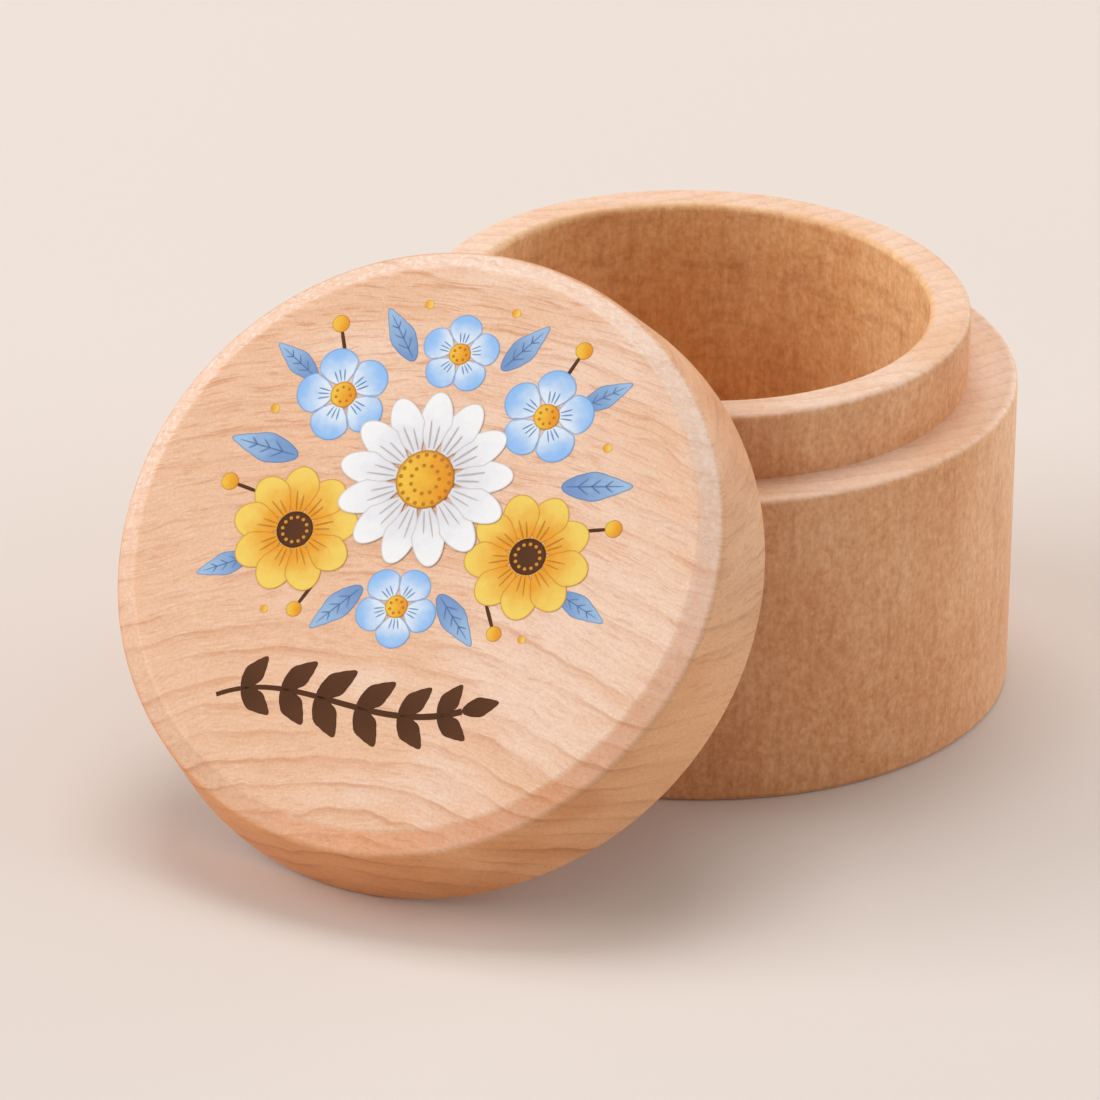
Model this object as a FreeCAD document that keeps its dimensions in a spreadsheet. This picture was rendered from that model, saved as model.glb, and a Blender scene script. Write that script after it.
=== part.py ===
import FreeCAD, Part
import Sketcher
import os

# A small turned wooden keepsake box, standing open with its lid leaning against it.
# Millimetres and degrees, +Z up. The origin is the centre of the box's resting face.
# The lid is drawn in a frame of its own, open rim at zero height, and then tilted into place.

DRIVING_SIZES = {
    "outer_dia": 50.0,          # box and lid are turned to one diameter
    "body_height": 25.5,        # resting face to shoulder
    "shoulder_width": 3.8,      # ledge round the spigot, on which the lid seats
    "spigot_height": 5.5,       # stepped-in neck that the lid fits over
    "spigot_wall": 3.2,         # between the spigot's outside and the cavity
    "floor_thickness": 5.0,
    "cavity_round": 3.0,        # inner corner between wall and floor
    "base_break": 0.5,          # chamfer round the resting face
    "shoulder_round": 0.6,
    "mouth_round": 0.6,         # both edges of the spigot's top
    "lid_top": 3.6,             # wood between the recess's roof and the lid's face
    "lid_draw": 0.8,            # how far the lid's side draws in towards its face
    "face_break_width": 1.7,    # broken edge of the lid's face, across
    "face_break_drop": 1.0,     # the same edge, down
    "face_soft": 0.8,           # rounding of the broken edge's two corners
    "skirt_round": 0.5,         # both edges of the lid's open rim
    "recess_round": 0.8,        # inner corner of the lid's recess
    "fit_clearance": 0.15,      # between spigot and recess, all round
    "head_clearance": 0.4,      # between the spigot's top and the recess's roof
    "lean_gap": 0.3,            # least distance between the leaning lid and the box
    "lean_shift": 5.8,          # lid's centre, aside of the line through the box's axis
    "lean_rise": 42.1,          # how far the lid's face looks up from level
    "lean_turn": -24.8,         # which way the face looks, about +Z from -Y
}

doc = FreeCAD.newDocument("tooth_box")
sheet = doc.addObject("Spreadsheet::Sheet", "sizes")
for row, (alias, value) in enumerate(DRIVING_SIZES.items(), start=1):
    sheet.set(f"A{row}", alias)
    sheet.set(f"B{row}", str(value))
    sheet.setAlias(f"B{row}", alias)
doc.recompute()

# Radii and heights that follow, as expressions in the sheet's names
AXIS = "0"
OPEN_Z = "0"
BASE_Z = "0"
OUTER_R = "sizes.outer_dia / 2"
SPIGOT_R = f"{OUTER_R} - sizes.shoulder_width"
BORE_R = f"{SPIGOT_R} - sizes.spigot_wall"
RECESS_R = f"{SPIGOT_R} + sizes.fit_clearance"
EDGE_R = f"{OUTER_R} - sizes.lid_draw"
FACE_R = f"{EDGE_R} - sizes.face_break_width"
FLOOR_Z = "sizes.floor_thickness"
SHOULDER_Z = "sizes.body_height"
RIM_Z = f"{SHOULDER_Z} + sizes.spigot_height"
ROOF_Z = "sizes.spigot_height + sizes.head_clearance"
FACE_Z = f"{ROOF_Z} + sizes.lid_top"
BREAK_Z = f"{FACE_Z} - sizes.face_break_drop"

FULL_TURN = 360
SAME_PLACE = 1e-5


def size_of(expression):
    return float(sheet.evalExpression(expression))


# One coordinate of a profile corner, held by its expression or, at zero, by the axis.
# A sketch knows its origin and level axis as -1, its upright axis as -2,
# and a line's start and end as 1 and 2.
def hold_corner(sketch, line, kind, expression, zero_axis):
    if expression == "0":
        sketch.addConstraint(Sketcher.Constraint("PointOnObject", line, 1, zero_axis))
        return
    rule = Sketcher.Constraint(kind, -1, 1, line, 1, size_of(expression))
    sketch.setExpression(f"Constraints[{sketch.addConstraint(rule)}]", expression)


# Body turned about its own Z from a closed half profile of (radius, height) corners
def turned_body(name, corners):
    body = doc.addObject("PartDesign::Body", name)
    body.Label = name
    sketch = body.newObject("Sketcher::SketchObject", name + "_profile")
    plane = next(f for f in body.Origin.OriginFeatures if f.Role == "XZ_Plane")
    sketch.AttachmentSupport = [(plane, "")]
    sketch.MapMode = "FlatFace"
    points = [FreeCAD.Vector(size_of(radius), size_of(height), 0) for radius, height in corners]
    for start, end in zip(points, points[1:] + points[:1]):
        sketch.addGeometry(Part.LineSegment(start, end))
    for line, (radius, height) in enumerate(corners):
        previous = (line - 1) % len(corners)
        sketch.addConstraint(Sketcher.Constraint("Coincident", previous, 2, line, 1))
        hold_corner(sketch, line, "DistanceX", radius, -2)
        hold_corner(sketch, line, "DistanceY", height, -1)
    doc.recompute()
    turning = body.newObject("PartDesign::Revolution", name + "_turning")
    turning.Profile = sketch
    turning.ReferenceAxis = (sketch, ["V_Axis"])
    turning.Angle = FULL_TURN
    doc.recompute()
    return body


# Names of a solid's circular edges at the given (radius, height) places
def ring_edges(shape, rings):
    names = []
    for number, edge in enumerate(shape.Edges, start=1):
        if not isinstance(edge.Curve, Part.Circle):
            continue
        for radius, height in rings:
            off_radius = abs(edge.Curve.Radius - size_of(radius))
            off_height = abs(edge.Curve.Center.z - size_of(height))
            if max(off_radius, off_height) < SAME_PLACE:
                names.append(f"Edge{number}")
    return names


# Fillet or chamfer, sized by one cell, round the given rings of a body's present solid
def ease_rings(body, kind, cell, rings):
    base = body.Tip
    feature = body.newObject("PartDesign::" + kind, body.Label + "_" + cell)
    feature.Base = (base, ring_edges(base.Shape, rings))
    feature.setExpression("Radius" if kind == "Fillet" else "Size", "sizes." + cell)
    doc.recompute()


# Box body: straight wall, flat shoulder, spigot and bored cavity
box_body = turned_body("box_body", [
    (AXIS, BASE_Z),
    (OUTER_R, BASE_Z),
    (OUTER_R, SHOULDER_Z),
    (SPIGOT_R, SHOULDER_Z),
    (SPIGOT_R, RIM_Z),
    (BORE_R, RIM_Z),
    (BORE_R, FLOOR_Z),
    (AXIS, FLOOR_Z),
])
ease_rings(box_body, "Chamfer", "base_break", [(OUTER_R, BASE_Z)])
ease_rings(box_body, "Fillet", "shoulder_round", [(OUTER_R, SHOULDER_Z)])
ease_rings(box_body, "Fillet", "mouth_round", [(SPIGOT_R, RIM_Z), (BORE_R, RIM_Z)])
ease_rings(box_body, "Fillet", "cavity_round", [(BORE_R, FLOOR_Z)])

# Lid: flat face with a broken edge, slightly drawn-in side and the recess for the spigot
lid = turned_body("lid", [
    (RECESS_R, OPEN_Z),
    (OUTER_R, OPEN_Z),
    (EDGE_R, BREAK_Z),
    (FACE_R, FACE_Z),
    (AXIS, FACE_Z),
    (AXIS, ROOF_Z),
    (RECESS_R, ROOF_Z),
])
ease_rings(lid, "Fillet", "skirt_round", [(OUTER_R, OPEN_Z), (RECESS_R, OPEN_Z)])
ease_rings(lid, "Fillet", "face_soft", [(EDGE_R, BREAK_Z), (FACE_R, FACE_Z)])
ease_rings(lid, "Fillet", "recess_round", [(RECESS_R, ROOF_Z)])

# The lid leans: its rounded skirt edge stands at zero height, stand_out from the box's axis.
# The skirt's corner is sharper than square, so its rounding is centred at SKIRT_R.
RISE = "sizes.lean_rise * 1 deg"
TURN = "sizes.lean_turn * 1 deg"
HALF_CORNER = f"(90 deg - atan(sizes.lid_draw / ({BREAK_Z}))) / 2"
SKIRT_R = f"{OUTER_R} - sizes.skirt_round / tan({HALF_CORNER})"
STAND_Z = f"({SKIRT_R}) * cos({RISE}) + sizes.skirt_round * (1 - sin({RISE}))"
STAND_X = f"sizes.stand_out * sin({TURN}) - sizes.lean_shift * cos({TURN})"
STAND_Y = f"-1 * sizes.stand_out * cos({TURN}) - sizes.lean_shift * sin({TURN})"
TILT = f"rotationz({TURN}) * rotationx(90 deg - {RISE})"
stand_cell = f"B{len(DRIVING_SIZES) + 1}"
sheet.set(stand_cell, "0")
sheet.setAlias(stand_cell, "stand_out")
doc.recompute()
lid.setExpression("Placement", f"placement(vector({STAND_X}; {STAND_Y}; {STAND_Z}); {TILT})")


# Least distance between lid and box with the lid at that stand
def gap_at(stand_out):
    sheet.set(stand_cell, str(stand_out))
    doc.recompute()
    return box_body.Shape.distToShape(lid.Shape)[0]


# The lid is brought up to the box until only the named gap is left
too_near = 0.0
clear = size_of("sizes.outer_dia + sizes.body_height")
while clear - too_near > SAME_PLACE:
    middle = (too_near + clear) / 2
    if gap_at(middle) < size_of("sizes.lean_gap"):
        too_near = middle
    else:
        clear = middle
gap = gap_at(clear)

# Nothing is written unless every object is sound
for item in doc.Objects:
    if "Invalid" in item.State or "Error" in item.State:
        raise SystemExit(f"{item.Label} failed: {item.State}")
nodes = [box_body, lid]
for node in nodes:
    if node.Shape.isNull() or not node.Shape.isValid():
        raise SystemExit(f"{node.Label} has no valid solid")

os.makedirs("parts", exist_ok=True)
for node in nodes:
    node.Shape.exportStep(f"parts/{node.Label}.step")
    print(f"{node.Label}: {node.Shape.Volume:.1f} mm3, {len(node.Shape.Solids)} solid")
print(f"gap between the leaning lid and the box: {gap:.3f} mm")
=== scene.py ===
import math

import bmesh
import bpy
from mathutils import Matrix, Vector
from mathutils.geometry import interpolate_bezier


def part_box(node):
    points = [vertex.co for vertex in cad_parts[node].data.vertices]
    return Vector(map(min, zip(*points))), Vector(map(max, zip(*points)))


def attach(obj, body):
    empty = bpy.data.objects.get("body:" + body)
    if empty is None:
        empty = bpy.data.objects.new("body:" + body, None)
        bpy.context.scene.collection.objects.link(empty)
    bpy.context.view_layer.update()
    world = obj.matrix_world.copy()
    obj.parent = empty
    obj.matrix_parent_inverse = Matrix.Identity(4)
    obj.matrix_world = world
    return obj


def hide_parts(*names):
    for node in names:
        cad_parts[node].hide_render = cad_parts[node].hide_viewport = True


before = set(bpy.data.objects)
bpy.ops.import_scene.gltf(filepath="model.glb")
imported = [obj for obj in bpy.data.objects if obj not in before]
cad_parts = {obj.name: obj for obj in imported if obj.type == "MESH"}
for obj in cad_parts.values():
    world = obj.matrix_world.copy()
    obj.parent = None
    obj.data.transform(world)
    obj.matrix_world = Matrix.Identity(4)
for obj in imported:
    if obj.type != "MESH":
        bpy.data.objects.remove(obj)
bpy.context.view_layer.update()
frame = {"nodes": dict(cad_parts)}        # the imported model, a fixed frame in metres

mm = 0.001
near = 0.03 * mm         # how close a ring lies to its named place
upright = 0.999          # a level face's normal is at least this straight
discRing = 1.0 * mm      # width of the ring inside a flat disc's outline
noiseMiddle = 0.5        # about which a noise swings
print("frame loaded:", ", ".join(frame["nodes"]))


# selecting and editing

def clearSelection():
    if bpy.context.object and bpy.context.object.mode != "OBJECT":
        bpy.ops.object.mode_set(mode="OBJECT")
    bpy.ops.object.select_all(action="DESELECT")


def nameNew(name):       # the primitive just added
    piece = bpy.context.object
    piece.name = name
    piece.data.name = name
    return piece


def workOn(piece):
    clearSelection()
    piece.select_set(True)
    bpy.context.view_layer.objects.active = piece


def editPiece(piece):
    workOn(piece)
    bpy.ops.object.mode_set(mode="EDIT")


def pickFlat(piece, height, facing):     # level faces at a height, looking up (1) or down (-1)
    bpy.ops.mesh.select_mode(type="FACE")
    bpy.ops.mesh.select_all(action="DESELECT")
    shape = bmesh.from_edit_mesh(piece.data)
    for face in shape.faces:
        level = face.normal.z * facing > upright
        face.select_set(level and abs(face.calc_center_median().z - height) < near)
    bmesh.update_edit_mesh(piece.data)


def onRing(vert, radius, height):
    return abs(vert.co.xy.length - radius) < near and abs(vert.co.z - height) < near


def pickRings(piece, rings):             # edges running round at (radius, height)
    bpy.ops.mesh.select_mode(type="EDGE")
    bpy.ops.mesh.select_all(action="DESELECT")
    shape = bmesh.from_edit_mesh(piece.data)
    for edge in shape.edges:
        edge.select_set(any(all(onRing(vert, *ring) for vert in edge.verts) for ring in rings))
    bmesh.update_edit_mesh(piece.data)


def easeRings(piece, rings, width, steps):
    pickRings(piece, rings)
    bpy.ops.mesh.bevel(offset=width, offset_type="OFFSET", segments=steps, profile=0.5,
                       affect="EDGES", clamp_overlap=False)


def raiseFlat(rise):     # what is selected is drawn out up or down
    bpy.ops.mesh.extrude_region_move(TRANSFORM_OT_translate={"value": (0, 0, rise)})


def fanFlat(piece, height, facing):      # a flat disc gets an inner ring and a fan of triangles
    pickFlat(piece, height, facing)
    bpy.ops.mesh.inset(thickness=discRing)
    bpy.ops.mesh.poke()


def applyPlace(piece):
    workOn(piece)
    bpy.ops.object.transform_apply(location=True, rotation=True, scale=True)


def finishTurning(piece, creaseAngle):
    workOn(piece)
    bpy.ops.object.shade_smooth_by_angle(angle=math.radians(creaseAngle))
    even = piece.modifiers.new("evenNormals", "WEIGHTED_NORMAL")
    even.keep_sharp = True
    bpy.ops.object.modifier_apply(modifier=even.name)


# shader maths: a wrapped socket that can be reckoned with

class Wire:
    def __init__(self, finish, socket):
        self.finish = finish
        self.socket = socket

    def calc(self, operation, first, second):
        return self.finish.node("ShaderNodeMath", {"operation": operation}, {0: first, 1: second})

    def __add__(self, other):
        return self.calc("ADD", self, other)

    def __radd__(self, other):
        return self.calc("ADD", other, self)

    def __sub__(self, other):
        return self.calc("SUBTRACT", self, other)

    def __rsub__(self, other):
        return self.calc("SUBTRACT", other, self)

    def __mul__(self, other):
        return self.calc("MULTIPLY", self, other)

    def __rmul__(self, other):
        return self.calc("MULTIPLY", other, self)

    def __truediv__(self, other):
        return self.calc("DIVIDE", self, other)

    def __rtruediv__(self, other):
        return self.calc("DIVIDE", other, self)


class Finish:
    def __init__(self, name):
        self.material = bpy.data.materials.new(name)
        self.material.use_nodes = True
        self.tree = self.material.node_tree
        self.tree.nodes.clear()

    # any node: its type, its settings, the values or links of its sockets, and which output
    def node(self, kind, settings, sockets, output=0):
        made = self.tree.nodes.new(kind)
        for key, value in settings.items():
            setattr(made, key, value)
        for key, value in sockets.items():
            if isinstance(value, Wire):
                self.tree.links.new(value.socket, made.inputs[key])
            else:
                made.inputs[key].default_value = value
        return Wire(self, made.outputs[output]) if len(made.outputs) else None

    def objectSpot(self, place):         # millimetres in the piece's own frame
        spot = self.node("ShaderNodeTexCoord", {}, {}, "Object")
        return self.node("ShaderNodeMapping", {"vector_type": "TEXTURE"}, {
            "Vector": spot, "Location": place.to_translation(),
            "Rotation": place.to_euler(), "Scale": (mm, mm, mm)})

    def apart(self, vector):
        return [self.node("ShaderNodeSeparateXYZ", {}, {0: vector}, axis) for axis in range(3)]

    def together(self, x, y, z):
        return self.node("ShaderNodeCombineXYZ", {}, {0: x, 1: y, 2: z})

    def noise(self, spot, pattern):      # pattern: waves per mm each way, detail, roughness, twist
        waves, detail, roughness, twist = pattern
        vector = self.together(*(part * pace for part, pace in zip(spot, waves)))
        return self.node("ShaderNodeTexNoise", {"noise_dimensions": "3D"}, {
            "Vector": vector, "Scale": 1.0, "Detail": detail,
            "Roughness": roughness, "Distortion": twist})

    def ease(self, value, span):         # 0 below the span, 1 above it, smooth between
        return self.node("ShaderNodeMapRange", {"interpolation_type": "SMOOTHSTEP"}, {
            "Value": value, "From Min": span[0], "From Max": span[1], "To Min": 0.0, "To Max": 1.0})

    def blend(self, factor, first, second):
        return self.node("ShaderNodeMix", {"data_type": "RGBA"}, {0: factor, 6: first, 7: second}, 2)

    def scale(self, colour, factor):     # lighter or darker, hue kept
        return self.node("ShaderNodeVectorMath", {"operation": "SCALE"},
                         {0: colour, "Scale": factor})

    def close(self, colour, roughness, height, bumpDepth, bumpStrength, shine):
        normal = self.node("ShaderNodeBump", {}, {
            "Strength": bumpStrength, "Distance": bumpDepth, "Height": height})
        shader = self.node("ShaderNodeBsdfPrincipled", {}, {
            "Base Color": colour, "Roughness": roughness, "Normal": normal,
            "Specular IOR Level": shine})
        self.node("ShaderNodeOutputMaterial", {}, {"Surface": shader})
        return self.material


def paint(red, green, blue):             # 0 to 255 as on a colour picker
    def linear(level):
        level = level / 255
        return level / 12.92 if level <= 0.04045 else ((level + 0.055) / 1.055) ** 2.4
    return (linear(red), linear(green), linear(blue), 1.0)


# where the lid leans: found from its box in the frame and the way it faces

lean = {
    "rise": 42.1,        # degrees the face looks up
    "turn": -24.8,       # degrees about the upright, from straight ahead
    "radius": 25.0 * mm,
    "edgeRound": 0.5 * mm,
    "drawIn": 0.8 / 8.5,         # slope of the side, which makes the skirt's corner sharper than square
}

skirtCorner = math.pi / 2 - math.atan(lean["drawIn"])
skirtSoft = lean["edgeRound"] / math.tan(skirtCorner / 2)

leanTurn = Matrix.Rotation(math.radians(lean["turn"]), 4, "Z")
leanTilt = Matrix.Rotation(math.radians(90 - lean["rise"]), 4, "X")
lidAxis = (leanTurn @ leanTilt).to_3x3() @ Vector((0, 0, 1))


def skirtReach(part):    # from the lid's middle to its round skirt edge, along one world axis
    across = math.sqrt(1 - part * part) * (lean["radius"] - skirtSoft)
    return across + lean["edgeRound"] * (1 - abs(part))


lidLow, lidHigh = (Vector(corner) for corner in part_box("lid"))
lidMiddle = Vector((
    lidHigh.x - skirtReach(lidAxis.x),
    lidHigh.y - skirtReach(lidAxis.y),
    lidLow.z + skirtReach(lidAxis.z),
))
lidPlace = Matrix.Translation(lidMiddle) @ leanTurn @ leanTilt
boxPlace = Matrix.Identity(4)
boxAxis = Vector((0, 0, 1))
print("lid's rim is centred at", [round(value / mm, 3) for value in lidMiddle], "mm")


# box: a turned cup with a spigot

box = {
    "radius": 25.0 * mm,
    "shoulder": 25.5 * mm,       # height of the ledge
    "shoulderWidth": 3.8 * mm,
    "spigot": 5.5 * mm,          # rise above the ledge
    "wall": 3.2 * mm,
    "floor": 5.0 * mm,
    "cavityRound": 3.0 * mm,
    "baseBreak": 0.5 * mm,
    "shoulderRound": 0.6 * mm,
    "mouthRound": 0.6 * mm,
    "sides": 226,
    "cavitySteps": 10,           # faces across each rounding
    "edgeSteps": 6,
    "baseSteps": 3,
    "crease": 35,                # degrees, sharper edges stay sharp
}


def turnBox():
    spigotRadius = box["radius"] - box["shoulderWidth"]
    boreRadius = spigotRadius - box["wall"]
    rim = box["shoulder"] + box["spigot"]
    clearSelection()
    bpy.ops.mesh.primitive_cylinder_add(vertices=box["sides"], radius=box["radius"],
                                        depth=box["shoulder"], end_fill_type="NGON",
                                        location=(0, 0, box["shoulder"] / 2))
    piece = nameNew("turnedBox")
    applyPlace(piece)
    editPiece(piece)
    pickFlat(piece, box["shoulder"], 1)
    bpy.ops.mesh.inset(thickness=box["shoulderWidth"])
    raiseFlat(box["spigot"])
    bpy.ops.mesh.inset(thickness=box["wall"])
    raiseFlat(box["floor"] - rim)
    mouth = [(boreRadius, rim), (spigotRadius, rim)]
    easeRings(piece, [(boreRadius, box["floor"])], box["cavityRound"], box["cavitySteps"])
    easeRings(piece, mouth, box["mouthRound"], box["edgeSteps"])
    easeRings(piece, [(box["radius"], box["shoulder"])], box["shoulderRound"], box["edgeSteps"])
    easeRings(piece, [(box["radius"], 0)], box["baseBreak"], box["baseSteps"])
    fanFlat(piece, box["floor"], 1)
    fanFlat(piece, 0, -1)
    finishTurning(piece, box["crease"])
    return piece


# lid: a shallow turned cap, made level and then leant into place

lid = {
    "radius": 25.0 * mm,
    "edgeRadius": 24.2 * mm,     # the side draws in a little towards the face
    "height": 9.5 * mm,
    "recessRadius": 21.35 * mm,
    "recessDepth": 5.9 * mm,
    "breakWidth": 1.7 * mm,      # broken edge of the face
    "breakDrop": 1.0 * mm,
    "outerSoft": 0.45 * mm,      # softening of the broken edge's two corners
    "innerSoft": 0.22 * mm,
    "mouthRound": 0.5 * mm,
    "recessRound": 0.8 * mm,
    "sides": 224,
    "edgeSteps": 6,              # faces across each rounding
    "innerSteps": 4,
    "crease": 35,                # degrees, sharper edges stay sharp
}


def turnLid():
    faceRadius = lid["edgeRadius"] - lid["breakWidth"]
    breakHeight = lid["height"] - lid["breakDrop"]
    steps = lid["edgeSteps"]
    clearSelection()
    bpy.ops.mesh.primitive_cylinder_add(vertices=lid["sides"], radius=lid["radius"],
                                        depth=lid["height"], end_fill_type="NGON",
                                        location=(0, 0, lid["height"] / 2))
    piece = nameNew("turnedLid")
    applyPlace(piece)
    editPiece(piece)
    pickFlat(piece, lid["height"], 1)
    bpy.ops.mesh.inset(thickness=lid["radius"] - faceRadius)
    pickRings(piece, [(lid["radius"], lid["height"])])
    drawIn = lid["edgeRadius"] / lid["radius"]
    bpy.ops.transform.resize(value=(drawIn, drawIn, 1), center_override=(0, 0, 0))
    bpy.ops.transform.translate(value=(0, 0, -lid["breakDrop"]))
    pickFlat(piece, 0, -1)
    bpy.ops.mesh.inset(thickness=lid["radius"] - lid["recessRadius"])
    raiseFlat(lid["recessDepth"])
    easeRings(piece, [(lid["edgeRadius"], breakHeight)], lid["outerSoft"], steps)
    easeRings(piece, [(faceRadius, lid["height"])], lid["innerSoft"], lid["innerSteps"])
    easeRings(piece, [(lid["radius"], 0)], skirtSoft, steps)
    easeRings(piece, [(lid["recessRadius"], 0)], lid["mouthRound"], steps)
    easeRings(piece, [(lid["recessRadius"], lid["recessDepth"])], lid["recessRound"], steps)
    fanFlat(piece, lid["height"], 1)
    fanFlat(piece, lid["recessDepth"], -1)
    clearSelection()
    piece.matrix_world = lidPlace
    applyPlace(piece)
    finishTurning(piece, lid["crease"])
    return piece


# bare pale wood, matt; the sides are painted deeper in colour than the faces, as painted shade

wood = {
    "pale": paint(240, 205, 179),
    "warm": paint(233, 186, 150),
    "mark": paint(203, 135, 87),
    # side shades: the same wood painted deeper and more orange, as painted shade on the upright sides
    "shadedSidePale": paint(229, 174, 128),
    "shadedSideWarm": paint(213, 149, 99),
    "shadedSideMark": paint(176, 110, 64),
    "edge": paint(246, 223, 208),        # pale fibres, the broken edge's short grain, and the broken edge's painted highlight at its top
    "shadedSideFrom": (0.35, 0.85),            # how level a side and a face are
    "tintShares": (0.5, 1.0, 1.6),       # how much red, green and blue swing
    "roughness": 0.5,
    "fibreRoughness": 0.12,
    "shine": 0.5,
    "bumpDepth": 0.04 * mm,
    "bumpStrength": 0.3,
    "softLine": (0.2, 0.9),              # shares of a ring over which its line comes in and ends
    "softStrength": 0.42,
    "thinLine": (0.72, 0.92),
    "thinStrength": 0.58,
    "lineEnd": (0.93, 1.0),
}


class WoodFinish(Finish):
    def facing(self, axis):              # 1 on level faces, 0 on upright sides
        normal = self.node("ShaderNodeTexCoord", {}, {}, "Normal")
        along = self.node("ShaderNodeVectorMath", {"operation": "DOT_PRODUCT"},
                          {0: normal, 1: axis}, "Value")
        return self.node("ShaderNodeMath", {"operation": "ABSOLUTE"}, {0: along})

    def reach(self, x, y):               # distance from an axis
        return self.node("ShaderNodeVectorMath", {"operation": "LENGTH"},
                         {0: self.together(x, y, 0.0)}, "Value")

    def shades(self, level):             # face shades, and side shades painted deeper as painted shade, by which way the wood looks
        # upright sides take the deeper side shades: painted shade
        side = 1 - self.ease(level, wood["shadedSideFrom"])
        pairs = (("pale", "shadedSidePale"), ("warm", "shadedSideWarm"), ("mark", "shadedSideMark"))
        return side, [self.blend(side, wood[face], wood[edge]) for face, edge in pairs]

    def atLeast(self, share, mask):      # a share everywhere, all of it where the mask is 1
        return share + (1 - share) * mask

    def shift(self, colour, red, green, blue):   # each channel raised or lowered by a share
        tones = self.together(1 + red, 1 + green, 1 + blue)
        return self.node("ShaderNodeVectorMath", {"operation": "MULTIPLY"}, {0: colour, 1: tones})

    def tint(self, colour, swing):       # paler or deeper; blue swings most and red least
        return self.shift(colour, *(swing * share for share in wood["tintShares"]))

    def lines(self, deep, gap):          # growth lines, soft on one side
        phase = self.node("ShaderNodeMath", {"operation": "FRACT"}, {0: deep / gap})
        soft = self.ease(phase, wood["softLine"]) * wood["softStrength"]
        thin = self.ease(phase, wood["thinLine"]) * wood["thinStrength"]
        return (soft + thin) * (1 - self.ease(phase, wood["lineEnd"]))

    def closeWood(self, colour, fibre, height):
        roughness = wood["roughness"] + fibre * wood["fibreRoughness"]
        return self.close(colour, roughness, height, wood["bumpDepth"], wood["bumpStrength"],
                          wood["shine"])


lidGrain = {
    "heart": (4.0, -50.0),       # middle of the growth rings, mm in the lid's own frame
    "bend": 50.0,                # mm along a ring for one radian
    "climb": 0.7,                # how far the rings shift from the open rim to the face
    "gap": 2.1,                  # mm between growth lines
    "fineGap": 0.85,             # mm between the finer lines of the upper part
    "swayReach": 3.4,            # mm that slow and quick waves carry the lines aside
    "rippleReach": 0.9,
    "fineRipple": 0.8,
    # noises: waves per mm along, across and down the rings, detail, roughness, twist
    "sway": ((0.05, 0.1, 0.05), 2.0, 0.5, 0.0),
    "ripple": ((0.24, 0.45, 0.3), 2.0, 0.5, 0.0),
    "seen": ((0.07, 0.32, 0.1), 1.0, 0.5, 0.0),
    "breaks": ((0.34, 1.1, 0.2), 2.0, 0.6, 0.0),
    "dash": ((0.38, 4.4, 1.0), 2.0, 0.6, 0.0),
    "streak": ((0.7, 4.0, 1.4), 2.0, 0.6, 0.0),
    "streakShift": 40 / 0.7,     # mm along, so that streaks and dashes don't meet
    "fibre": ((1.1, 8.5, 5.0), 3.0, 0.6, 0.0),
    "tone": ((0.07, 0.2, 0.1), 2.0, 0.5, 0.0),
    "speck": ((4.2, 4.2, 4.2), 2.0, 0.6, 0.0),
    "fleck": ((2.2, 2.2, 2.2), 2.0, 0.6, 0.0),
    # noise levels at which each begins and is full
    "seenFrom": (0.3, 0.66),
    "breaksFrom": (0.44, 0.64),
    "dashFrom": (0.53, 0.7),
    "streakFrom": (0.54, 0.72),
    "fibreFrom": (0.48, 0.78),
    "fleckFrom": (0.46, 0.66),
    "warmFrom": (0.3, 0.66),
    "lineStrength": 0.62,
    "fineStrength": 0.42,
    "dashStrength": 0.62,
    "streakStrength": 0.22,
    "fibreStrength": 0.34,
    "speckStrength": 0.4,        # swing of light and dark
    # bands on the lid, mm across or up its face, and how much changes there
    "upper": (-16.0, 4.0),       # weaker growth lines, stronger fine ones
    "upperSway": 12.0,
    "upperLines": 0.55,
    "lowerFine": 0.35,
    "dashUp": (-12.0, 6.0),
    "dashLow": 0.45,
    "dashRight": (4.0, 18.0),
    "dashThin": 0.5,
    "warmBase": 0.04,
    "warmSlope": 0.011,          # less warm with each mm to the right
    "warmLow": (-20.0, -8.0),
    "warmLowStrength": 0.12,
    "warmRight": (8.0, 18.0),
    "warmUp": (-2.0, 10.0),
    "warmRightStrength": 0.16,
    "foot": (-25.0, -14.0),      # painted light: the side is lighter at the foot
    "footLightStrength": 0.18,
    "shadeRight": (10.0, 20.0),   # and painted shade: the side is deeper on the right
    "shadeUp": (-6.0, 6.0),
    "shadeTop": (8.0, 18.0),
    "shadeTopLess": 0.8,
    "shadeStrength": 0.13,
    # the broken edge, between side and face by how level it lies; painted highlight at its top, painted
    # warm bounce light at its lower right
    "brokenFrom": (0.6, 0.8),
    "brokenTo": (0.9, 0.985),
    "edgeSheenUp": (-14.0, 6.0),
    "edgeSheen": 0.28,
    "edgeFleck": 0.1,
    "edgeFleckSheen": 0.26,
    "edgeRight": (-14.0, 4.0),
    "edgeDark": 0.1,
    "edgeDarkLess": 0.08,
    "bounceUp": (-2.0, 14.0),
    "bounceRed": 0.18,
    "bounceBlue": -0.1,
    "relief": {"fibre": 0.6, "speck": 0.3, "lines": 0.3, "fine": 0.2, "dashes": 0.2},
}


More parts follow.
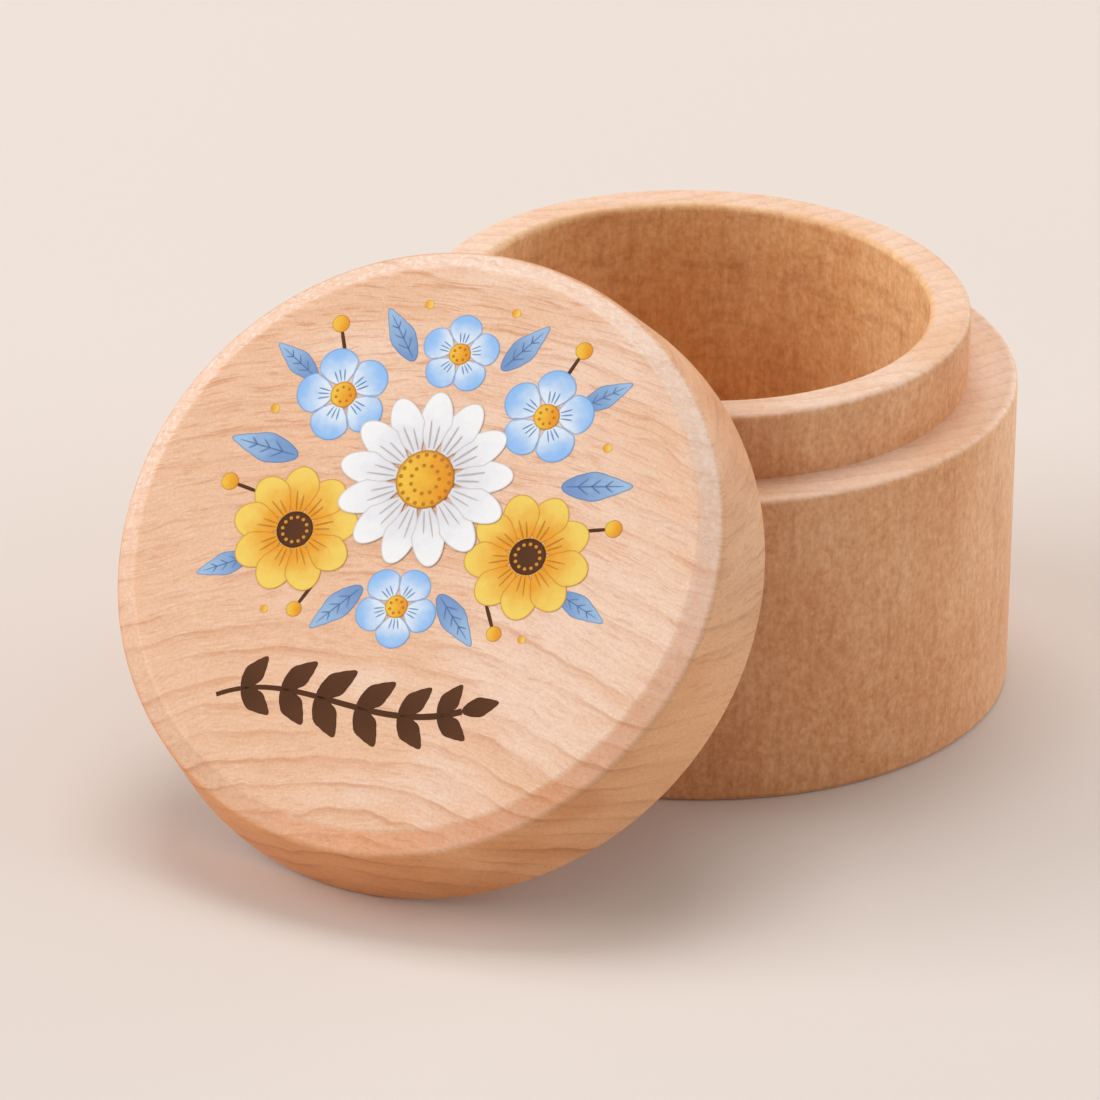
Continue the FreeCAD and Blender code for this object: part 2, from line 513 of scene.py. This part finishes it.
def lidWood():
    finish = WoodFinish("lidWood")
    grain = lidGrain
    face = finish.apart(finish.objectSpot(lidPlace))
    x, y, z = face
    acrossX = x - grain["heart"][0]
    acrossY = y - grain["heart"][1]
    angle = finish.node("ShaderNodeMath", {"operation": "ARCTAN2"}, {0: acrossX, 1: acrossY})
    along = angle * grain["bend"]
    deep = finish.reach(acrossX, acrossY) + z * grain["climb"]
    sway = finish.noise((along, deep, z), grain["sway"]) - noiseMiddle
    ripple = finish.noise((along, deep, z), grain["ripple"]) - noiseMiddle
    deep = deep + sway * grain["swayReach"] + ripple * grain["rippleReach"]
    run = (along, deep, z)

    # growth lines, fine lines, dashes and fibres
    upper = finish.ease(y + sway * grain["upperSway"], grain["upper"])
    lines = finish.lines(deep, grain["gap"])
    lines = lines * finish.ease(finish.noise(run, grain["seen"]), grain["seenFrom"])
    lines = lines * (1 - grain["upperLines"] * upper)
    fine = finish.lines(deep + ripple * grain["fineRipple"], grain["fineGap"])
    fine = fine * finish.ease(finish.noise(run, grain["breaks"]), grain["breaksFrom"])
    fine = fine * finish.atLeast(grain["lowerFine"], upper)
    dashes = finish.ease(finish.noise(run, grain["dash"]), grain["dashFrom"])
    dashes = dashes * finish.atLeast(grain["dashLow"], finish.ease(y, grain["dashUp"]))
    dashes = dashes * (1 - grain["dashThin"] * finish.ease(x, grain["dashRight"]))
    streakRun = (along + grain["streakShift"], deep, z)
    streaks = finish.ease(finish.noise(streakRun, grain["streak"]), grain["streakFrom"])
    fibre = finish.noise(run, grain["fibre"])
    speck = finish.noise(face, grain["speck"])

    level = finish.facing(lidAxis)
    side, (pale, warm, mark) = finish.shades(level)
    warmLow = 1 - finish.ease(y, grain["warmLow"])
    warmRight = finish.ease(x, grain["warmRight"]) * finish.ease(y, grain["warmUp"])
    warmth = finish.noise(run, grain["tone"]) + grain["warmBase"] - x * grain["warmSlope"]
    warmth = warmth + warmLow * grain["warmLowStrength"] + warmRight * grain["warmRightStrength"]
    colour = finish.blend(finish.ease(warmth, grain["warmFrom"]), pale, warm)
    colour = finish.blend(finish.ease(fibre, grain["fibreFrom"]) * grain["fibreStrength"], colour, mark)
    colour = finish.blend(dashes * grain["dashStrength"], colour, mark)
    colour = finish.blend(fine * grain["fineStrength"], colour, mark)
    colour = finish.blend(lines * grain["lineStrength"], colour, mark)
    colour = finish.blend(streaks * grain["streakStrength"] * (1 - side), colour, wood["edge"])
    colour = finish.tint(colour, (speck - noiseMiddle) * grain["speckStrength"])

    # painted light at the skirt's foot and painted shade on its right
    foot = 1 - finish.ease(y, grain["foot"])
    paintedShade = finish.ease(x, grain["shadeRight"]) * finish.ease(y, grain["shadeUp"])
    paintedShade = paintedShade * (1 - grain["shadeTopLess"] * finish.ease(y, grain["shadeTop"]))
    sideLightAndShade = foot * grain["footLightStrength"] - paintedShade * grain["shadeStrength"]
    colour = finish.scale(colour, 1 + sideLightAndShade * side)

    broken = finish.ease(level, grain["brokenFrom"]) * (1 - finish.ease(level, grain["brokenTo"]))
    fleck = finish.ease(finish.noise(face, grain["fleck"]), grain["fleckFrom"])
    # the broken edge is paler towards its top, with more pale flecks there: painted highlight over the
    # grain's own flecks
    sheenTop = finish.ease(y, grain["edgeSheenUp"])
    right = finish.ease(x, grain["edgeRight"])
    # and warmer at its lower right: painted bounce light
    bounceLowRight = broken * right * (1 - finish.ease(y, grain["bounceUp"]))
    colour = finish.scale(colour, 1 - broken * (grain["edgeDark"] - grain["edgeDarkLess"] * right))
    colour = finish.shift(colour, bounceLowRight * grain["bounceRed"], 0.0, bounceLowRight * grain["bounceBlue"])
    sheenAndFleckShare = grain["edgeSheen"] * sheenTop + fleck * (grain["edgeFleck"] + grain["edgeFleckSheen"] * sheenTop)
    colour = finish.blend(broken * sheenAndFleckShare, colour, wood["edge"])

    relief = grain["relief"]
    height = fibre * relief["fibre"] + speck * relief["speck"] - lines * relief["lines"]
    height = height - fine * relief["fine"] - dashes * relief["dashes"]
    return finish.closeWood(colour, fibre, height)


boxGrain = {
    "heart": (-14.0, 52.0),      # middle of the growth rings, mm, seen on the rim and ledge
    "gap": 1.7,                  # mm between growth lines
    "swayReach": 2.0,
    # noises: waves per mm each way, detail, roughness, twist
    "streak": ((1.3, 1.3, 0.09), 3.0, 0.55, 0.0),
    "fibre": ((5.0, 5.0, 0.55), 2.0, 0.6, 0.0),
    "speck": ((2.8, 2.8, 2.0), 3.0, 0.65, 0.0),
    "mottle": ((1.1, 1.1, 0.9), 3.0, 0.65, 0.0),
    "fuzz": ((1.9, 1.9, 1.9), 2.0, 0.5, 2.5),
    "tone": ((0.09, 0.09, 0.06), 2.0, 0.5, 0.0),
    "sway": ((0.12, 0.12, 0.04), 2.0, 0.5, 0.0),
    "blotch": ((0.22, 0.22, 0.75), 3.0, 0.6, 0.0),
    # noise levels at which each begins and is full
    "streakFrom": (0.45, 0.7),
    "fibreFrom": (0.5, 0.78),
    "fuzzFrom": (0.45, 0.5),
    "fuzzTo": (0.5, 0.55),
    "toneFrom": (0.3, 0.7),
    "blotchFrom": (0.5, 0.72),
    "lineStrength": 0.22,
    "streakStrength": 0.2,
    "fibreStrength": 0.25,
    "fuzzStrength": 0.4,
    "blotchStrength": 0.34,
    "mottleStrength": 0.75,      # swing of light and dark
    "speckStrength": 0.9,
    "speckLevel": 0.35,          # share of it on level faces
    # the inside, and bands of the wall that are paler or deeper, mm: painted light on the right, painted
    # shade towards the foot
    "insidePale": paint(238, 193, 140),
    "insideWarm": paint(227, 174, 117),
    "bore": (18.1, 18.6),
    "neck": (21.4, 22.0),
    "neckDeep": 0.03,
    "right": (12.0, 25.0),
    "rightSheen": 0.15,
    "baseShade": (0.0, 18.0),
    "baseShadeStrength": 0.13,
    "relief": {"fibre": 0.4, "speck": 0.5, "streak": 0.3},
}


def boxWood():
    finish = WoodFinish("boxWood")
    grain = boxGrain
    spot = finish.apart(finish.objectSpot(boxPlace))
    x, y, z = spot
    middle = finish.reach(x, y)
    streak = finish.noise(spot, grain["streak"])
    fibre = finish.noise(spot, grain["fibre"])
    speck = finish.noise(spot, grain["speck"])
    mottle = finish.noise(spot, grain["mottle"])
    fuzzNoise = finish.noise(spot, grain["fuzz"])
    fuzz = finish.ease(fuzzNoise, grain["fuzzFrom"]) * (1 - finish.ease(fuzzNoise, grain["fuzzTo"]))
    sway = finish.noise(spot, grain["sway"]) - noiseMiddle
    side, (pale, warm, mark) = finish.shades(finish.facing(boxAxis))
    deep = finish.reach(x - grain["heart"][0], y - grain["heart"][1]) + sway * grain["swayReach"]
    lines = finish.lines(deep, grain["gap"]) * (1 - side)
    inside = 1 - finish.ease(middle, grain["bore"])
    blotch = finish.ease(finish.noise(spot, grain["blotch"]), grain["blotchFrom"]) * inside

    pale = finish.blend(inside, pale, grain["insidePale"])
    warm = finish.blend(inside, warm, grain["insideWarm"])
    colour = finish.blend(finish.ease(finish.noise(spot, grain["tone"]), grain["toneFrom"]), pale, warm)
    colour = finish.blend(finish.ease(streak, grain["streakFrom"]) * grain["streakStrength"], colour, mark)
    colour = finish.blend(finish.ease(fibre, grain["fibreFrom"]) * grain["fibreStrength"], colour, mark)
    colour = finish.blend(blotch * grain["blotchStrength"], colour, mark)
    colour = finish.blend(lines * grain["lineStrength"], colour, mark)
    colour = finish.blend(fuzz * side * grain["fuzzStrength"], colour, wood["shadedSidePale"])

    # painted shade: the wall deeper towards its foot; painted light: paler on the right
    baseShade = 1 - finish.ease(z, grain["baseShade"])
    neck = 1 - finish.ease(middle, grain["neck"])
    right = finish.ease(x, grain["right"]) * (1 - neck)
    swing = (mottle - noiseMiddle) * grain["mottleStrength"] + right * grain["rightSheen"]
    swing = swing - baseShade * grain["baseShadeStrength"] - neck * grain["neckDeep"]
    specks = (speck - noiseMiddle) * grain["speckStrength"] * finish.atLeast(grain["speckLevel"], side)
    colour = finish.tint(colour, swing * side + specks)

    relief = grain["relief"]
    height = fibre * relief["fibre"] + speck * relief["speck"] + streak * relief["streak"]
    return finish.closeWood(colour, fibre, height)


boxPiece = turnBox()
boxPiece.data.materials.append(boxWood())
print("box turned:", len(boxPiece.data.polygons), "faces")

lidPiece = turnLid()
lidPiece.data.materials.append(lidWood())
print("lid turned:", len(lidPiece.data.polygons), "faces")

for piece, node, body, slot in (
    (boxPiece, "box_body", "box", "box_wood"),
    (lidPiece, "lid", "lid", "lid_wood"),
):
    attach(piece, body)
    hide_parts(node)


# printed posy on the lid's face: thin flakes of ink, lying over each other in a fixed order

ink = {
    "thickness": 0.006 * mm,
    "step": 0.002,               # mm between neighbouring petals
    "lift": {                    # mm above the face, layer by layer
        "stem": 0.008, "leaf": 0.01, "berry": 0.012, "vein": 0.014, "petal": 0.016,
        "blueCrease": 0.028, "blueMiddle": 0.032, "blueDot": 0.036,
        "goldCrease": 0.036, "goldMiddle": 0.04, "goldDot": 0.044,
        "daisyPetal": 0.046, "daisyCrease": 0.074, "daisyMiddle": 0.078, "daisyDot": 0.082,
    },
    "roughness": 0.6,
    "toothRoughness": 0.1,
    "shine": 0.15,
    "bumpDepth": 0.01 * mm,
    "bumpStrength": 0.2,
    "wash": ((0.8, 0.8, 0.8), 3.0, 0.6, 0.0),        # waves per mm, detail, roughness, twist
    "washReach": 0.7,
    "tooth": ((3.0, 7.0, 1.0), 2.0, 0.6, 0.0),
    "toothFrom": (0.55, 0.8),
    "toothStrength": 0.12,
    "toneFrom": (0.05, 0.95),    # along a petal, from its inner to its outer shade
    "rimFrom": (0.2, 1.0),
    "rimStrength": 0.75,
    "shades": {                  # inner, outer, rim
        "white": (paint(222, 222, 228), paint(243, 242, 241), paint(196, 178, 166)),
        "gold": (paint(233, 156, 40), paint(241, 207, 99), paint(196, 122, 34)),
        "amber": (paint(240, 193, 68), paint(230, 150, 36), paint(170, 100, 30)),
        "blue": (paint(224, 233, 242), paint(146, 190, 238), paint(96, 142, 200)),
        "leaf": (paint(118, 150, 196), paint(160, 190, 222), paint(88, 116, 164)),
        "brown": (paint(82, 46, 22), paint(92, 54, 28), paint(66, 35, 15)),
    },
    "pinchSteps": 10,            # a petal is narrowed in this many steps
    "pinchReach": 0.05,          # each this share of its length further out
}


def inkFinish(name, shades):             # paler or deeper along each petal, darker at its rim
    finish = Finish(name)
    inner, outer, edge = shades
    tone, rim = finish.apart(finish.node("ShaderNodeUVMap", {"uv_map": "inkMap"}, {}))[:2]
    spot = finish.apart(finish.objectSpot(lidPlace))
    wash = finish.noise(spot, ink["wash"]) - noiseMiddle
    tooth = finish.noise(spot, ink["tooth"])
    colour = finish.blend(finish.ease(tone + wash * ink["washReach"], ink["toneFrom"]), inner, outer)
    colour = finish.blend(finish.ease(rim, ink["rimFrom"]) * ink["rimStrength"], colour, edge)
    colour = finish.blend(finish.ease(tooth, ink["toothFrom"]) * ink["toothStrength"], colour, edge)
    roughness = ink["roughness"] + tooth * ink["toothRoughness"]
    return finish.close(colour, roughness, tooth, ink["bumpDepth"], ink["bumpStrength"], ink["shine"])


def mapInk(piece, outline, length):      # along the petal, and 1 at its rim or all over
    layer = piece.data.uv_layers.new(name="inkMap")
    for loop in piece.data.loops:
        spot = piece.data.vertices[loop.vertex_index].co
        layer.data[loop.index].uv = (spot.x / length, 1.0 if loop.vertex_index < outline else 0.0)


def thicken(piece):
    workOn(piece)
    solid = piece.modifiers.new("inkThickness", "SOLIDIFY")
    solid.thickness = ink["thickness"]
    solid.offset = -1
    bpy.ops.object.modifier_apply(modifier=solid.name)


def pinch(piece, limit, side, factor):   # narrows what lies beyond a limit along the petal
    bpy.ops.mesh.select_mode(type="VERT")
    bpy.ops.mesh.select_all(action="DESELECT")
    shape = bmesh.from_edit_mesh(piece.data)
    for vert in shape.verts:
        vert.select_set((vert.co.x - limit) * side > 0)
    bmesh.update_edit_mesh(piece.data)
    bpy.ops.transform.resize(value=(1, factor, 1), center_override=(0, 0, 0))


def cutPetal(name, length, width, rim, base=1.0, tip=1.0, outline=40, allDark=False):
    steps = ink["pinchSteps"]
    clearSelection()
    bpy.ops.mesh.primitive_circle_add(vertices=outline, radius=0.5, fill_type="NGON", calc_uvs=False)
    piece = nameNew(name)
    editPiece(piece)
    bpy.ops.mesh.select_all(action="SELECT")
    bpy.ops.transform.resize(value=(length * mm, width * mm, 1), center_override=(0, 0, 0))
    bpy.ops.transform.translate(value=(length * mm / 2, 0, 0))
    for step in range(steps):            # drawn in step by step towards foot and tip
        out = ink["pinchReach"] * step * length * mm
        pinch(piece, length * mm / 2 - out, -1, base ** (1 / steps))
        pinch(piece, length * mm / 2 + out, 1, tip ** (1 / steps))
    bpy.ops.mesh.select_mode(type="FACE")
    bpy.ops.mesh.select_all(action="SELECT")
    bpy.ops.mesh.inset(thickness=rim * mm)
    clearSelection()
    mapInk(piece, 2 * outline if allDark else outline, length * mm)
    thicken(piece)
    return piece


def layCopy(master, spot, turn, size, lift, hub=0.0):
    copy = master.copy()
    copy.data = master.data.copy()
    bpy.context.collection.objects.link(copy)
    place = Matrix.Translation((spot[0] * mm, spot[1] * mm, lift * mm))
    place = place @ Matrix.Rotation(math.radians(turn), 4, "Z")
    place = place @ Matrix.Translation((hub * size * mm, 0, 0))
    copy.matrix_world = place @ Matrix.Diagonal((size, size, 1, 1))
    return copy


def joinInk(name, parts, shades):
    bpy.context.view_layer.update()
    clearSelection()
    for part in parts:
        part.select_set(True)
    bpy.context.view_layer.objects.active = parts[0]
    bpy.ops.object.join()
    piece = nameNew(name)
    applyPlace(piece)
    piece.matrix_world = lidPlace @ posyPlace
    applyPlace(piece)
    bpy.ops.object.shade_flat()
    piece.data.materials.append(inkFinish(name + "Ink", shades))
    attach(piece, "lid")
    return piece


def forget(*masters):
    for master in masters:
        bpy.data.objects.remove(master)


petals = {                       # flakes that are cut once and copied, mm
    "whitePetal": {"length": 4.6, "width": 2.4, "rim": 0.16, "base": 0.5},
    "goldPetal": {"length": 3.6, "width": 2.8, "rim": 0.17, "base": 0.55},
    "bluePetal": {"length": 2.7, "width": 2.9, "rim": 0.16, "base": 0.7},
    "seed": {"length": 2.0, "width": 2.0, "rim": 0.18},
    "dot": {"length": 2.0, "width": 2.0, "rim": 0.3, "outline": 14, "allDark": True},
    "leaf": {"length": 5.2, "width": 2.3, "rim": 0.15, "base": 0.8, "tip": 0.45},
    "stem": {"length": 1.0, "width": 0.3, "rim": 0.05},
    "crease": {"length": 1.0, "width": 0.12, "rim": 0.03, "outline": 14, "allDark": True},
}

flowers = {
    "daisy": {
        "petal": "whitePetal",
        "petalHub": 1.7,                             # mm from the flower's middle
        "creases": ((-4.5, 1.7), (4.5, 2.1)),        # degrees aside of a petal, length
        "creaseHub": 2.2,
        "middle": 2.1,
        "dots": ((18, 0, 0.17, 9.4), (11, 9, 0.16, 5.4)),    # count, turn, size, hub in sizes
        "inks": ("white", "amber", "amber"),         # petals, middle, dots
        "lifts": ("daisyPetal", "daisyCrease", "daisyMiddle", "daisyDot"),
    },
    "gold": {
        "petal": "goldPetal",
        "petalHub": 1.1,
        "creases": ((-6, 1.2), (5, 1.5)),
        "creaseHub": 1.4,
        "middle": 1.35,
        "dots": ((12, 0, 0.14, 5.6),),
        "inks": ("gold", "brown", "gold"),
        "lifts": ("petal", "goldCrease", "goldMiddle", "goldDot"),
    },
    "blue": {
        "petal": "bluePetal",
        "petalHub": 0.75,
        "creases": ((-12, 0.9), (0, 0.9), (12, 0.9)),
        "creaseHub": 1.0,
        "middle": 0.95,
        "dots": ((7, 0, 0.12, 3.6),),
        "inks": ("blue", "amber", "amber"),
        "lifts": ("petal", "blueCrease", "blueMiddle", "blueDot"),
    },
}

posy = {
    "middle": (-0.8, 4.0),       # mm on the face, from its middle
    "turn": 4.5,                 # degrees
    "size": 1.0,
    "flowers": (                 # kind, spot, petals, turn, size
        ("daisy", (0.0, 1.4), 13, 10.0, 1.12),
        ("gold", (-9.4, -3.9), 9, 15.0, 1.08),
        ("gold", (9.6, -3.5), 9, 32.0, 1.08),
        ("blue", (-8.2, 7.2), 5, 40.0, 1.1),
        ("blue", (8.4, 7.6), 5, 12.0, 1.1),
        ("blue", (0.3, 11.6), 5, 90.0, 0.92),
        ("blue", (0.2, -8.8), 5, 60.0, 0.96),
    ),
    "leaves": (                  # foot, turn, size
        ((-10.6, 1.9), 172.0, 1.1), ((10.9, 2.3), 8.0, 1.1),
        ((-3.2, 10.6), 128.0, 0.95), ((3.9, 10.8), 52.0, 0.95),
        ((-10.6, 8.2), 148.0, 0.86), ((10.9, 8.6), 34.0, 0.86),
        ((-2.9, -7.6), 228.0, 0.98), ((3.3, -7.4), -46.0, 0.98),
        ((-12.4, -6.4), 206.0, 0.86), ((12.7, -6.0), -24.0, 0.86),
    ),
    "veins": {                   # mm and degrees on a leaf
        "midHub": 0.2, "midLength": 4.4, "pairs": 3, "first": 1.2, "spread": 38, "shrink": 0.15,
    },
    "berries": (                 # foot of the stem, turn, stem length, berry radius
        ((-8.6, 9.8), 112.0, 3.2, 0.7), ((8.9, 10.2), 68.0, 3.2, 0.7),
        ((-12.8, -1.4), 168.0, 2.8, 0.7), ((13.1, -1.0), 12.0, 2.8, 0.7),
        ((-6.6, -7.4), 244.0, 3.0, 0.62), ((7.0, -7.2), -62.0, 3.0, 0.62),
    ),
    "dots": (                    # spot, radius
        ((-3.1, 15.2), 0.36), ((4.0, 15.4), 0.36), ((-13.4, 5.4), 0.36), ((13.8, 5.8), 0.36),
        ((-10.3, -10.4), 0.32), ((10.7, -10.0), 0.32),
    ),
    "prints": (                  # piece, its ink
        ("printLeaves", "leaf"), ("printBrown", "brown"), ("printBlue", "blue"),
        ("printGold", "gold"), ("printWhite", "white"), ("printAmber", "amber"),
    ),
}

posyPlace = Matrix.Translation((posy["middle"][0] * mm, posy["middle"][1] * mm, lid["height"]))
posyPlace = posyPlace @ Matrix.Rotation(math.radians(posy["turn"]), 4, "Z")
posyPlace = posyPlace @ Matrix.Diagonal((posy["size"], posy["size"], 1, 1))


def stepFrom(spot, turn, length):        # the point that far along a turn
    way = math.radians(turn)
    return (spot[0] + length * math.cos(way), spot[1] + length * math.sin(way))


def layRing(parts, master, spot, count, turn, size, lift, hub, rise=0.0, stretch=1.0):
    for step in range(count):            # petals, creases or dots round a flower's middle
        angle = turn + 360 / count * step
        part = layCopy(master, spot, angle, size, lift + rise * step, hub)
        part.matrix_world = part.matrix_world @ Matrix.Diagonal((stretch, 1, 1, 1))
        parts.append(part)


def layLine(parts, master, spot, turn, size, lift, length, hub=0.0):
    layRing(parts, master, spot, 1, turn, size, lift, hub, stretch=length)


def layDisc(parts, master, spot, radius, lift):
    parts.append(layCopy(master, (spot[0] - radius, spot[1]), 0, radius, lift))


def layFlower(inks, masters, kind, spot, count, turn, size):
    form = flowers[kind]
    petalInk, middleInk, dotInk = (inks[key] for key in form["inks"])
    petalLift, creaseLift, middleLift, dotLift = (ink["lift"][key] for key in form["lifts"])
    layRing(petalInk, masters[form["petal"]], spot, count, turn, size, petalLift,
            form["petalHub"], rise=ink["step"])
    for aside, length in form["creases"]:
        layRing(petalInk, masters["crease"], spot, count, turn + aside, size, creaseLift,
                form["creaseHub"], stretch=length)
    layDisc(middleInk, masters["seed"], spot, form["middle"] * size, middleLift)
    for number, start, dotSize, hub in form["dots"]:
        layRing(dotInk, masters["dot"], spot, number, start, dotSize, dotLift, hub * size)


def layLeaf(parts, masters, spot, turn, size):
    veins = posy["veins"]
    crease = masters["crease"]
    veinLift = ink["lift"]["vein"]
    parts.append(layCopy(masters["leaf"], spot, turn, size, ink["lift"]["leaf"]))
    layLine(parts, crease, spot, turn, size, veinLift, veins["midLength"], veins["midHub"])
    for step in range(veins["pairs"]):
        foot = stepFrom(spot, turn, (veins["first"] + step) * size)
        for side in (-veins["spread"], veins["spread"]):
            layLine(parts, crease, foot, turn + side, size, veinLift, 1.0 - veins["shrink"] * step)


def printPosy():
    masters = {name: cutPetal(name, **form) for name, form in petals.items()}
    inks = {key: [] for key in ink["shades"]}
    for flower in posy["flowers"]:
        layFlower(inks, masters, *flower)
    for leaf in posy["leaves"]:
        layLeaf(inks["leaf"], masters, *leaf)
    for spot, turn, length, radius in posy["berries"]:
        layLine(inks["brown"], masters["stem"], spot, turn, 1.0, ink["lift"]["stem"], length)
        layDisc(inks["amber"], masters["seed"], stepFrom(spot, turn, length), radius,
                ink["lift"]["berry"])
    for spot, radius in posy["dots"]:
        layDisc(inks["gold"], masters["seed"], spot, radius, ink["lift"]["berry"])
    laySprig(inks["brown"])
    pieces = [joinInk(name, inks[key], ink["shades"][key]) for name, key in posy["prints"]]
    forget(*masters.values())
    return pieces


sprig = {
    "start": (-12.4, -17.6),     # mm in the posy's own frame
    "startPull": (-6.4, -14.4),
    "endPull": (0.4, -19.2),
    "end": (7.4, -16.2),
    "width": 0.66,
    "startShare": 0.55,          # of the width
    "endShare": 0.8,
    "smooth": 40,                # steps along the stem and round it
    "roundSteps": 2,
    "weld": 0.0001 * mm,         # joins the stem's end caps to it
    "leaf": {"length": 3.7, "width": 2.1, "rim": 0.12, "base": 0.75, "tip": 0.5},
    "pairs": 6,
    "firstPair": 0.7,            # in gaps between pairs
    "pathSteps": 48,
    "lean": 48.0,                # degrees between leaf and stem
    "fullest": 0.45,             # where along the stem the leaves are largest
    "shrink": 0.35,
    "tipSize": 0.8,
}


def drawStem(points, width, lift):       # a soft line of ink through four pulling points
    clearSelection()
    bpy.ops.curve.primitive_bezier_curve_add(location=(0, 0, 0))
    line = nameNew("stemLine")
    first, last = line.data.splines[0].bezier_points
    start, startPull, endPull, end = (Vector((x * mm, y * mm, 0)) for x, y in points)
    for point, spot, left, right, share in (
        (first, start, start, startPull, sprig["startShare"]),
        (last, end, endPull, end, sprig["endShare"]),
    ):
        point.handle_left_type = "FREE"
        point.handle_right_type = "FREE"
        point.co = spot
        point.handle_left = left
        point.handle_right = right
        point.radius = share
    line.data.resolution_u = sprig["smooth"]
    line.data.bevel_depth = width * mm / 2
    line.data.bevel_resolution = sprig["roundSteps"]
    line.data.use_fill_caps = True
    bpy.ops.object.convert(target="MESH")
    line = bpy.context.object
    editPiece(line)
    bpy.ops.mesh.select_all(action="SELECT")
    bpy.ops.mesh.remove_doubles(threshold=sprig["weld"])
    bpy.ops.mesh.normals_make_consistent(inside=False)
    clearSelection()
    while line.data.uv_layers:
        line.data.uv_layers.remove(line.data.uv_layers[0])
    flat = ink["thickness"] / (width * mm)
    line.matrix_world = Matrix.Translation((0, 0, lift * mm)) @ Matrix.Diagonal((1, 1, flat, 1))
    applyPlace(line)
    mapInk(line, 0, 1.0)
    return line


def laySprig(parts):                     # one leafy sprig below the flowers
    points = [sprig[key] for key in ("start", "startPull", "endPull", "end")]
    parts.append(drawStem(points, sprig["width"], ink["lift"]["stem"]))
    path = interpolate_bezier(*(Vector((x, y, 0)) for x, y in points), sprig["pathSteps"])
    leaf = cutPetal("sprigLeaf", **sprig["leaf"])
    leafLift = ink["lift"]["leaf"]
    for pair in range(sprig["pairs"]):
        place = int((pair + sprig["firstPair"]) / sprig["pairs"] * (sprig["pathSteps"] - 2))
        run = path[place + 1] - path[place]
        way = math.degrees(math.atan2(run.y, run.x))
        size = 1.0 - sprig["shrink"] * abs(pair / (sprig["pairs"] - 1) - sprig["fullest"])
        for side in (-sprig["lean"], sprig["lean"]):
            parts.append(layCopy(leaf, path[place], way + side, size, leafLift))
    run = path[-1] - path[-2]
    way = math.degrees(math.atan2(run.y, run.x))
    parts.append(layCopy(leaf, path[-1], way, sprig["tipSize"], leafLift))
    forget(leaf)


printed = printPosy()
print("posy printed:", sum(len(piece.data.polygons) for piece in printed), "faces")


# floor, light and camera

studio = {
    "floorColour": paint(220, 207, 197),
    "floorSize": 6.0,
    "floorRoughness": 0.9,
    "floorShine": 0.2,
    "skyColour": (1.0, 0.95, 0.89),
    "skyStrength": 0.38,
    "lights": (                  # name, place in metres, watts, size, colour
        ("keyLight", (-0.88, -0.1, 0.48), 7.3, 0.8, (0.98, 1.005, 1.045)),
        ("topLight", (-0.03, 0.3, 1.0), 4.7, 0.55, (0.97, 1.01, 1.06)),
        ("fillLight", (1.0, -0.15, 0.45), 2.8, 0.8, (0.95, 0.99, 1.02)),
        ("sideLight", (0.8, 0.6, 0.2), 4.1, 0.6, (0.88, 1.0, 1.1)),
    ),
    "aim": (-0.01, -0.01, 0.015),
}


def layFloor():
    clearSelection()
    bpy.ops.mesh.primitive_plane_add(size=studio["floorSize"], location=(0, 0, 0))
    piece = nameNew("plainFloor")
    finish = Finish("floorPaper")
    shader = finish.node("ShaderNodeBsdfPrincipled", {}, {
        "Base Color": studio["floorColour"], "Roughness": studio["floorRoughness"],
        "Specular IOR Level": studio["floorShine"]})
    finish.node("ShaderNodeOutputMaterial", {}, {"Surface": shader})
    piece.data.materials.append(finish.material)


def hangLight(name, spot, power, size, colour):
    lamp = bpy.data.lights.new(name, "AREA")
    lamp.energy = power
    lamp.color = colour
    lamp.size = size
    hung = bpy.data.objects.new(name, lamp)
    bpy.context.collection.objects.link(hung)
    hung.location = spot
    hung.rotation_euler = (Vector(studio["aim"]) - Vector(spot)).to_track_quat("-Z", "Y").to_euler()


def lightSky():
    sky = bpy.data.worlds.new("softSky")
    sky.use_nodes = True
    bpy.context.scene.world = sky
    ground = sky.node_tree.nodes["Background"]
    ground.inputs["Color"].default_value = (*studio["skyColour"], 1.0)
    ground.inputs["Strength"].default_value = studio["skyStrength"]


view = {
    "target": Vector((-11.054, -10.0, 14.0)) * mm,
    "azimuth": -0.1945,          # degrees from straight ahead
    "elevation": 25.657,
    "roll": 1.357,
    "distance": 1083.69 * mm,
    "lens": 458.18,
    "sensor": 36.0,
    "clipStart": 0.05,           # metres
    "clipEnd": 20.0,
}


def setCamera():
    turn = Matrix.Rotation(math.radians(view["azimuth"]), 4, "Z")
    tilt = Matrix.Rotation(math.radians(90 - view["elevation"]), 4, "X")
    roll = Matrix.Rotation(math.radians(view["roll"]), 4, "Z")
    stepBack = Matrix.Translation((0, 0, view["distance"]))
    camera = bpy.data.cameras.new("photoCamera")
    camera.lens = view["lens"]
    camera.sensor_width = view["sensor"]
    camera.clip_start = view["clipStart"]
    camera.clip_end = view["clipEnd"]
    held = bpy.data.objects.new("photoCamera", camera)
    bpy.context.collection.objects.link(held)
    held.matrix_world = Matrix.Translation(view["target"]) @ turn @ tilt @ stepBack @ roll
    bpy.context.scene.camera = held


layFloor()
lightSky()
for light in studio["lights"]:
    hangLight(*light)
setCamera()
bpy.context.scene.view_settings.view_transform = "Standard"
print("floor, light and camera set")
